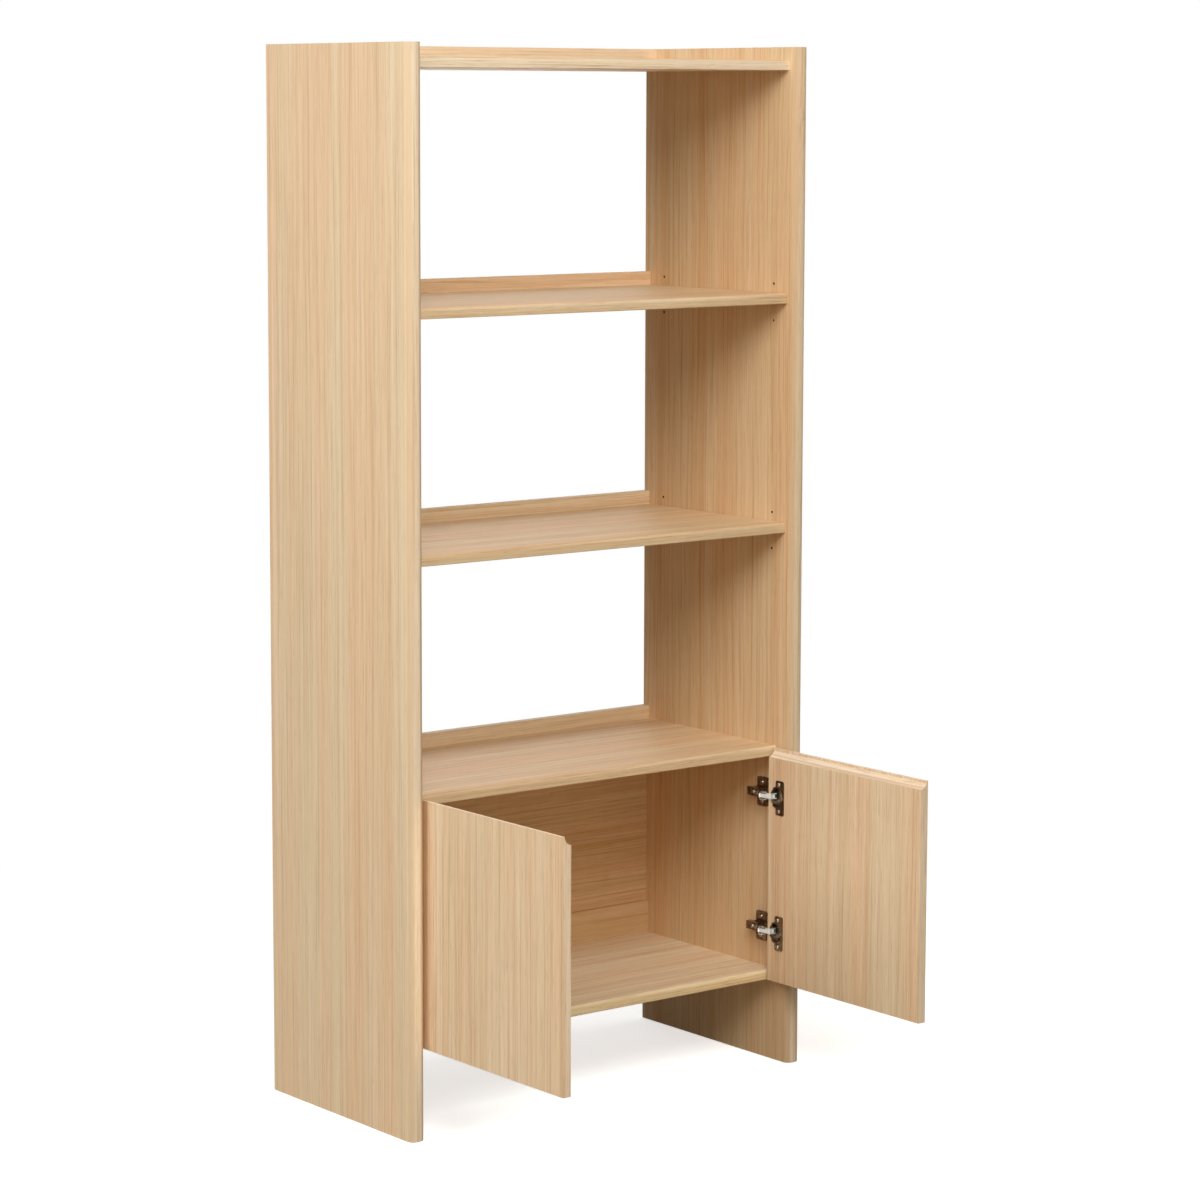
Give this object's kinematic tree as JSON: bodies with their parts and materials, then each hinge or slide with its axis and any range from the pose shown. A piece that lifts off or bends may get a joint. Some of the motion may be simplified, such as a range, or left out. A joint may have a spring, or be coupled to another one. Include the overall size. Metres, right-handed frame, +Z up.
{
  "type": "bookcase with cabinet doors",
  "caption": "Tall open bookcase with adjustable shelves over a cabinet; its inset doors turn on concealed cup hinges with linked arms.",
  "frame": {"origin": "on the floor, at the middle of the overall width and depth with both doors open", "axes": "+Z up, +X to the right seen from the front, +Y from the open doors to the back"},
  "size_m": [0.85, 0.7734, 1.8],
  "materials": {
    "oak": "satin",
    "dowel_wood": "matte",
    "hinge_nickel": "satin",
    "link_steel": "polished",
    "pin_steel": "satin",
    "screw_steel": "satin",
    "zinc_casting": "satin",
    "glide_plastic": "matte"
  },
  "bodies": {
    "carcass": {"side_panel_left": "oak", "side_panel_right": "oak", "top_panel": "oak", "upper_shelf": "oak", "lower_shelf": "oak", "cabinet_top_panel": "oak", "cabinet_bottom_panel": "oak", "top_back_rail": "oak", "upper_shelf_rail": "oak", "lower_shelf_rail": "oak", "cabinet_top_rail": "oak", "cabinet_bottom_rail": "oak", "cabinet_back_panel": "oak", "upper_shelf_pins": "pin_steel", "lower_shelf_pins": "pin_steel", "dowels": "dowel_wood", "cam_bolts": "screw_steel", "cam_locks": "zinc_casting", "rail_screws": "screw_steel", "floor_glides": "glide_plastic", "arm_pins": "pin_steel", "arm_screws": "screw_steel", "hinge_arm_left_lower": "hinge_nickel", "hinge_arm_left_upper": "hinge_nickel", "hinge_arm_right_lower": "hinge_nickel", "hinge_arm_right_upper": "hinge_nickel", "hinge_plate_left_lower": "hinge_nickel", "hinge_plate_left_upper": "hinge_nickel", "hinge_plate_right_lower": "hinge_nickel", "hinge_plate_right_upper": "hinge_nickel", "plate_screws": "screw_steel"},
    "left_door": {"door_left": "oak", "cup_pins_left": "pin_steel", "cup_screws_left": "screw_steel", "hinge_cup_left_lower": "hinge_nickel", "hinge_cup_left_upper": "hinge_nickel"},
    "right_door": {"door_right": "oak", "cup_pins_right": "pin_steel", "cup_screws_right": "screw_steel", "hinge_cup_right_lower": "hinge_nickel", "hinge_cup_right_upper": "hinge_nickel"},
    "left_short_links": {"short_link_left_lower": "link_steel", "short_link_left_upper": "link_steel"},
    "right_short_links": {"short_link_right_lower": "link_steel", "short_link_right_upper": "link_steel"},
    "left_long_links": {"link_rivets_left": "pin_steel", "long_link_left_lower": "link_steel", "long_link_left_upper": "link_steel"},
    "right_long_links": {"link_rivets_right": "pin_steel", "long_link_right_lower": "link_steel", "long_link_right_upper": "link_steel"}
  },
  "joints": [
    {"name": "left_short_link_pivot", "type": "hinge", "parent": "carcass", "child": "left_short_links", "pos_m": [-0.3727, 0.01116, 0.4845], "axis": [0, 0, 1], "range_deg": [-13.01, 0]},
    {"name": "left_door_hinge", "type": "hinge", "parent": "left_short_links", "child": "left_door", "pos_m": [-0.38188, -0.00286, 0.3625], "axis": [0, 0, 1], "range_deg": [0, 103]},
    {"name": "left_long_link_pivot", "type": "hinge", "parent": "carcass", "child": "left_long_links", "pos_m": [-0.364, 0.01946, 0.4845], "axis": [0, 0, 1], "range_deg": [-17.21, 0]},
    {"name": "right_short_link_pivot", "type": "hinge", "parent": "carcass", "child": "right_short_links", "pos_m": [0.3727, 0.01116, 0.4845], "axis": [0, 0, 1], "range_deg": [0, 13.01]},
    {"name": "right_door_hinge", "type": "hinge", "parent": "right_short_links", "child": "right_door", "pos_m": [0.38188, -0.00286, 0.3625], "axis": [0, 0, 1], "range_deg": [-103, 0]},
    {"name": "right_long_link_pivot", "type": "hinge", "parent": "carcass", "child": "right_long_links", "pos_m": [0.364, 0.01946, 0.4845], "axis": [0, 0, 1], "range_deg": [0, 17.21]}
  ],
  "couplings": [
    {"joint": "left_short_link_pivot", "follows": "left_door_hinge", "ratio": -0.12621},
    {"joint": "left_long_link_pivot", "follows": "left_door_hinge", "ratio": -0.16699},
    {"joint": "right_short_link_pivot", "follows": "right_door_hinge", "ratio": -0.12621},
    {"joint": "right_long_link_pivot", "follows": "right_door_hinge", "ratio": -0.16699}
  ]
}
